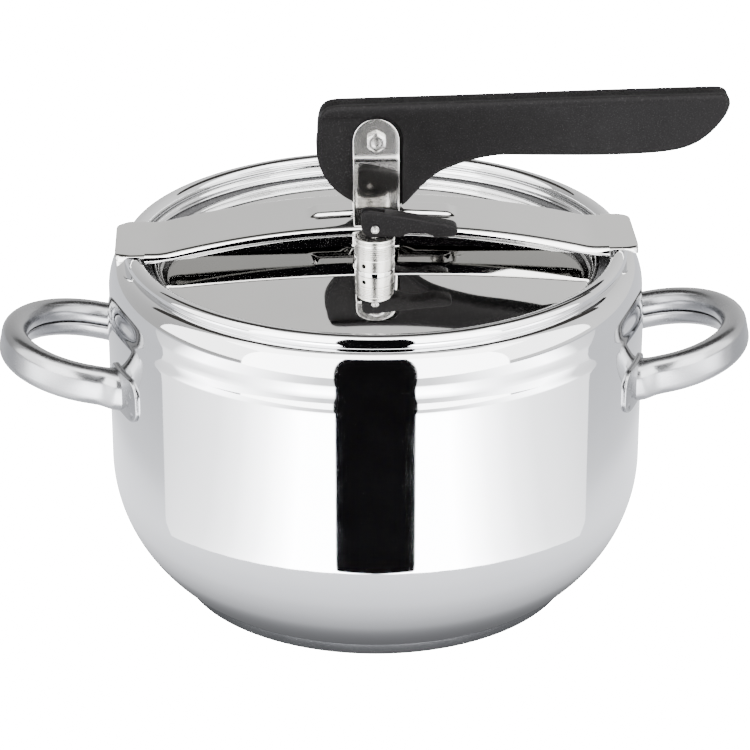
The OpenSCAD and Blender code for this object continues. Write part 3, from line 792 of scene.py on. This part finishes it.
# ------------------------------------------------------------------ regulating valve
bm = bmesh.new()
gp = [(VB_R - 1.7, 166.55), (VB_R - 0.4, 166.55), (VB_R - 0.1, 166.65), (VB_R, 166.95), (VB_R, 171.75), (VB_R - 0.22, 171.95), (VB_R - 0.25, 172.15), (VB_R - 0.22, 172.35), (VB_R, 172.55)]
for i in range(5):
    z = 173 + i * 0.95
    gp += [(VB_R, z), (VB_R, z + 0.5), (VB_R - 0.2, z + 0.62), (VB_R - 0.25, z + 0.72), (VB_R - 0.2, z + 0.83)]
gp += [(VB_R, 177.85), (VB_R, 178.5), (VB_R - 0.22, 178.8), (VB_R - 0.3, 179.05), (VB_R - 0.22, 179.3), (VB_R, 179.6), (VB_R, VB_TOP - 0.75), (VB_R - 0.12, VB_TOP - 0.35),
       (VB_R - 0.4, VB_TOP - 0.1), (VB_R - 0.9, VB_TOP), (2.0, VB_TOP), (1.7, VB_TOP - 0.15), (1.6, VB_TOP - 0.4), (1.6, VB_TOP - 2), (VB_R - 1.7, VB_TOP - 2)]
lathe(bm, gp, 144, at=(VALVE_X, -VALVE_D))
house = finish_mesh("valve_cage", bm, turned, "lid_set", ["valve_housing"], 40)
cb = bmesh.new()
for k in range(3):
    a = R(120 * k - 125)
    hz, hr = 169.4, 1.05
    c, s = math.cos(a), math.sin(a)
    rows = []
    for d in (5.0, 13.0):
        ring = []
        for i in range(24):
            t = 2 * math.pi * i / 24
            u, w = hr * math.cos(t), hr * math.sin(t)
            ring.append((d * c - u * s + VALVE_X, d * s + u * c - VALVE_D, hz + w))
        rows.append(ring)
    loft(cb, rows)
boolean_cut(house, cb, 40)

# release lever: two cheeks round the spindle, joined by the arm
def heel(f):
    return 3.9 + 2 * f / 90


REL = [(-6, 0.4), (-6.2, 3.6), (-5.4, 7), (-2.5, 8.1), (6, 6.9), (16, 5), (26, 2.9), (33.6, 1.3), (36, 0.3), (36.8, -1.6), (35.8, -3.6), (32.4, -4.6)]
rel = [(-heel(f) * math.sin(R(f)), -heel(f) * math.cos(R(f))) for f in range(0, 91, 6)]
rel = rel + smooth_pts(REL, 4) + [(27 - i, -4.5 + 0.025 * i + 2.4 * math.sin(math.pi * i / 16)) for i in range(17)] + [(7, -3.9)]
bm = bmesh.new()
plate_xz(bm, rel, -4.0, 4.0, 1.0, 4, 0, 185.6)
rl = finish_mesh("release_arm", bm, black, "release", ["release_lever"], 50, offset=(VALVE_X, -VALVE_D, 0))
cb = bmesh.new()
boxmesh(cb, VALVE_X - 9, VALVE_X + 4.5, -VALVE_D - 1.75, -VALVE_D + 1.75, 174, 196.5)
boolean_cut(rl, cb, 50)

bm = bmesh.new()
rows = []
for y, r in ((4.6, 0.7), (4.5, 0.95), (4.2, 1.0), (-4.0, 1.0), (-4.04, 1.7), (-4.1, 1.9), (-4.45, 1.9), (-4.75, 1.75), (-4.86, 1.45), (-4.86, 1.1), (-4.7, 0.85), (-4.45, 0.6), (-4.4, 0.2)):
    rows.append([(VALVE_X + r * math.cos(2 * math.pi * i / 40), y - VALVE_D, 185.6 + r * math.sin(2 * math.pi * i / 40)) for i in range(40)])
loft(bm, rows)
finish_mesh("release_rivet", bm, bolt_m, "release", ["release_pin"], 40)

# ------------------------------------------------------------------ materials of the CAD nodes that stay
KEEP = {"base_core": alu_m, "strap_rivets": bolt_m, "strap_washers": seal, "lever_bush": bolt_m, "valve_nozzle": painted_shade_brass, "valve_washer": seal,
        "valve_nut": brass_m, "valve_spring": wire_m, "valve_spindle": bolt_m, "safety_housing": bolt_m, "safety_nut": brass_m,
        "safety_washer": seal, "safety_spring": wire_m, "safety_plug": bolt_m}
for node, mat in KEEP.items():
    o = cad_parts[node]
    o.data.materials.clear()
    o.data.materials.append(mat)
    if node not in ("valve_spring", "safety_spring"):
        bv = o.modifiers.new("edge", "BEVEL")
        bv.width = 0.00022
        bv.segments = 2
        bv.limit_method = "ANGLE"
        bv.angle_limit = R(40)

# ------------------------------------------------------------------ studio
def emit(name, col, strength):
    m = bpy.data.materials.new(name)
    m.use_nodes = True
    nt = m.node_tree
    for n in list(nt.nodes):
        nt.nodes.remove(n)
    out = nt.nodes.new("ShaderNodeOutputMaterial")
    e = nt.nodes.new("ShaderNodeEmission")
    e.inputs[0].default_value = (*col, 1)
    e.inputs[1].default_value = strength
    nt.links.new(e.outputs[0], out.inputs[0])
    return m


TURN = -R(2.6)


def card(name, pts, mat, turn=True, camera=False, glossy=True, diffuse=False):
    """A studio card from its corners in metres, turned with the shot's front direction."""
    c, s_ = (math.cos(TURN), math.sin(TURN)) if turn else (1, 0)
    me = bpy.data.meshes.new(name)
    me.from_pydata([(x * c - y * s_, x * s_ + y * c, z) for x, y, z in pts], [], [tuple(range(len(pts)))])
    o = bpy.data.objects.new(name, me)
    scene.collection.objects.link(o)
    me.materials.append(mat)
    o.visible_camera = camera
    o.visible_shadow = False
    o.visible_diffuse = diffuse
    o.visible_glossy = glossy
    o.visible_transmission = False
    return o


# the floor that the camera sees, and a darker table that the polished steel reflects; its glow is painted dark under
# and around the pot as a painted shadow
paper = emit("paper_white", (1, 1, 1), 22)
card("floor", [(-8, -8, -0.0006), (8, -8, -0.0006), (8, 8, -0.0006), (-8, 8, -0.0006)], paper, False, True, False)
painted_shadow_table, nt, b = new_mat("table_side_painted_shadow")
nt.nodes.remove(b)
e = nt.nodes.new("ShaderNodeEmission")
geo = nt.nodes.new("ShaderNodeTexCoord")
ln = nt.nodes.new("ShaderNodeVectorMath")
ln.operation = "LENGTH"
nt.links.new(geo.outputs["Object"], ln.inputs[0])
cr = nt.nodes.new("ShaderNodeFloatCurve")
mr = ramp(nt, ln.outputs["Value"], 0, 1, 0.0, 0.5)
nt.links.new(mr, cr.inputs["Value"])
cv = cr.mapping.curves[0]
# painted shadow: the glow is lowest under the pot, rises past its wall to a peak about 0.2 m from the axis, then falls
for i, (x, y) in enumerate(((0.0, 0.02), (0.19, 0.07), (0.225, 0.25), (0.26, 0.46), (0.30, 0.63), (0.41, 0.75), (0.55, 0.50), (1.0, 0.42))):
    if i < len(cv.points) - 1 and i == 0:
        cv.points[0].location = (x, y)
    elif i == 7:
        cv.points[-1].location = (x, y)
    else:
        cv.points.new(x, y)
cr.mapping.update()
mu = nt.nodes.new("ShaderNodeMath")
mu.operation = "MULTIPLY"
mu.inputs[1].default_value = 3.0
nt.links.new(cr.outputs[0], mu.inputs[0])
nt.links.new(mu.outputs[0], e.inputs[1])
e.inputs[0].default_value = (0.97, 0.985, 1.03, 1)
out = [n for n in nt.nodes if n.type == "OUTPUT_MATERIAL"][0]
nt.links.new(e.outputs[0], out.inputs[0])
card("table_side_painted_shadow", [(-8, -8, -0.0004), (8, -8, -0.0004), (8, 8, -0.0004), (-8, 8, -0.0004)], painted_shadow_table, False)

# bright table in front, brightest beside the dark gap, fading outwards
fm, nt, b = new_mat("table_front")
nt.nodes.remove(b)
e = nt.nodes.new("ShaderNodeEmission")
tc = nt.nodes.new("ShaderNodeTexCoord")
sp = nt.nodes.new("ShaderNodeSeparateXYZ")
mp = nt.nodes.new("ShaderNodeMapping")
mp.inputs["Rotation"].default_value = (0, 0, -TURN)
nt.links.new(tc.outputs["Object"], mp.inputs["Vector"])
nt.links.new(mp.outputs[0], sp.inputs[0])
at = nt.nodes.new("ShaderNodeMath")
at.operation = "ARCTAN2"
ab = nt.nodes.new("ShaderNodeMath")
ab.operation = "ABSOLUTE"
ng = nt.nodes.new("ShaderNodeMath")
ng.operation = "MULTIPLY"
ng.inputs[1].default_value = -1.0
nt.links.new(sp.outputs["X"], ab.inputs[0])
nt.links.new(sp.outputs["Y"], ng.inputs[0])
nt.links.new(ab.outputs[0], at.inputs[0])
nt.links.new(ng.outputs[0], at.inputs[1])


def falloff(stops, top):
    """Brightness by azimuth: (degrees, level) stops through a colour ramp."""
    cr_ = nt.nodes.new("ShaderNodeValToRGB")
    el = cr_.color_ramp.elements
    el[0].position, el[1].position = stops[0][0] / 180, stops[-1][0] / 180
    for a_, v_ in stops[1:-1]:
        el.new(a_ / 180)
    for k_, (a_, v_) in enumerate(stops):
        el[k_].color = (v_ / top, v_ / top, v_ / top, 1)
    nt.links.new(ramp(nt, at.outputs[0], 0, 1, 0, math.pi), cr_.inputs[0])
    m_ = nt.nodes.new("ShaderNodeMath")
    m_.operation = "MULTIPLY"
    m_.inputs[1].default_value = top
    nt.links.new(cr_.outputs[0], m_.inputs[0])
    return m_.outputs[0]


near = falloff(((26, 22), (31, 16), (39, 9.5), (49, 5.8), (59, 4.2), (82, 3.0), (120, 2.6)), 22)
far = falloff(((20, 2.4), (30, 3.6), (40, 6.0), (56, 9.5), (68, 12), (76, 8), (84, 2.4), (110, 1.3)), 12)
ln = nt.nodes.new("ShaderNodeVectorMath")
ln.operation = "LENGTH"
nt.links.new(tc.outputs["Object"], ln.inputs[0])
mx = nt.nodes.new("ShaderNodeMix")
nt.links.new(ramp(nt, ln.outputs["Value"], 0, 1, 0.42, 0.50), mx.inputs[0])
nt.links.new(near, mx.inputs[2])
nt.links.new(far, mx.inputs[3])
nt.links.new(mx.outputs[0], e.inputs[1])
e.inputs[0].default_value = (0.985, 0.99, 1.01, 1)
out = [n for n in nt.nodes if n.type == "OUTPUT_MATERIAL"][0]
nt.links.new(e.outputs[0], out.inputs[0])
edge = []
for d_ in (0, 8, 15, 22, 29, 36, 43, 51.3):
    a_, t_ = R(d_), 0.083 - 0.0001 * d_
    edge.append((0.1233 * math.sin(a_) + t_ * math.sin(2 * a_), -0.1233 * math.cos(a_) - t_ * math.cos(2 * a_)))
card("table_front", [(x, y, -0.0002) for x, y in edge + [(2.487, 0.457), (2.5, -3.2), (-2.5, -3.2), (-2.487, 0.457)] + [(-x, y) for x, y in edge[:0:-1]]], fm)

flag = emit("black_flag", (0.0045, 0.004, 0.005), 1.0)
card("gap_floor", [(-0.0435, -0.2085, 0.0), (-0.0405, -0.2055, 0.0), (0.0405, -0.2055, 0.0), (0.0435, -0.2085, 0.0), (0.392, -1.35, 0.0), (-0.392, -1.35, 0.0)], flag)
card("gap_wall", [(-0.392, -1.35, 0), (0.392, -1.35, 0), (0.392, -1.35, 2.2), (-0.392, -1.35, 2.2)], flag)
soft = emit("softbox_front", (1, 1, 1), 12.0)
side = emit("softbox_side", (0.98, 0.99, 1.0), 5.0)
for k in (1, -1):
    card(f"soft_{'r' if k > 0 else 'l'}", [(k * 0.392, -1.35, 0.02), (k * 1.9, -1.35, 0.02), (k * 1.9, -1.35, 2.0), (k * 0.392, -1.35, 2.0)], soft)
top = emit("softbox_top", (1, 0.995, 0.985), 9.0)
card("soft_top", [(-2, -1.35, 2.0), (2, -1.35, 2.0), (2, -0.3, 2.0), (-2, -0.3, 2.0)], top)
dark = emit("dark_ceiling", (0.07, 0.066, 0.062), 1.0)
card("ceiling_back", [(-0.9, 0.16, 2.02), (0.9, 0.16, 2.02), (2.7, 1.75, 2.02), (-2.7, 1.75, 2.02)], dark)
wing = emit("softbox_wing", (1, 0.998, 0.99), 6.0)
for k in (1, -1):
    card(f"wing_top_{'r' if k > 0 else 'l'}", [(k * 0.9, -0.3, 2.02), (k * 1.9, -0.3, 2.02), (k * 1.9, 0.3, 2.02), (k * 0.9, 0.15, 2.02)], wing)
    card(f"wing_side_{'r' if k > 0 else 'l'}", [(k * 1.9, -1.35, 0.3), (k * 1.9, 0.25, 0.3), (k * 1.9, 0.25, 2.0), (k * 1.9, -1.35, 2.0)], wing)

world = bpy.data.worlds.new("studio")
scene.world = world
world.use_nodes = True
wn = world.node_tree
bg = wn.nodes["Background"]
bg.inputs[0].default_value = (1.0, 0.995, 0.985, 1)
wt = wn.nodes.new("ShaderNodeTexCoord")
ws = wn.nodes.new("ShaderNodeSeparateXYZ")
wn.links.new(wt.outputs["Generated"], ws.inputs[0])
wn.links.new(ramp(wn, ws.outputs["X"], 0.75, 1.65, -1, 1), bg.inputs[1])


def area_light(name, loc, target, size, power, col=(1, 1, 1)):
    ld = bpy.data.lights.new(name, "AREA")
    ld.shape = "RECTANGLE"
    ld.size, ld.size_y = size
    ld.energy = power
    ld.color = col
    o = bpy.data.objects.new(name, ld)
    o.location = loc
    d = Vector(target) - Vector(loc)
    o.rotation_euler = d.to_track_quat("-Z", "Y").to_euler()
    o.visible_glossy = False
    scene.collection.objects.link(o)
    return o


area_light("key_top", (0.1, -0.1, 1.7), (0, 0, 0.15), (1.4, 1.4), 30)
area_light("front_left", (-1.1, -1.5, 1.0), (0, 0, 0.15), (0.9, 0.9), 12)
area_light("front_right", (1.2, -1.5, 0.9), (0, 0, 0.15), (0.9, 0.9), 18)
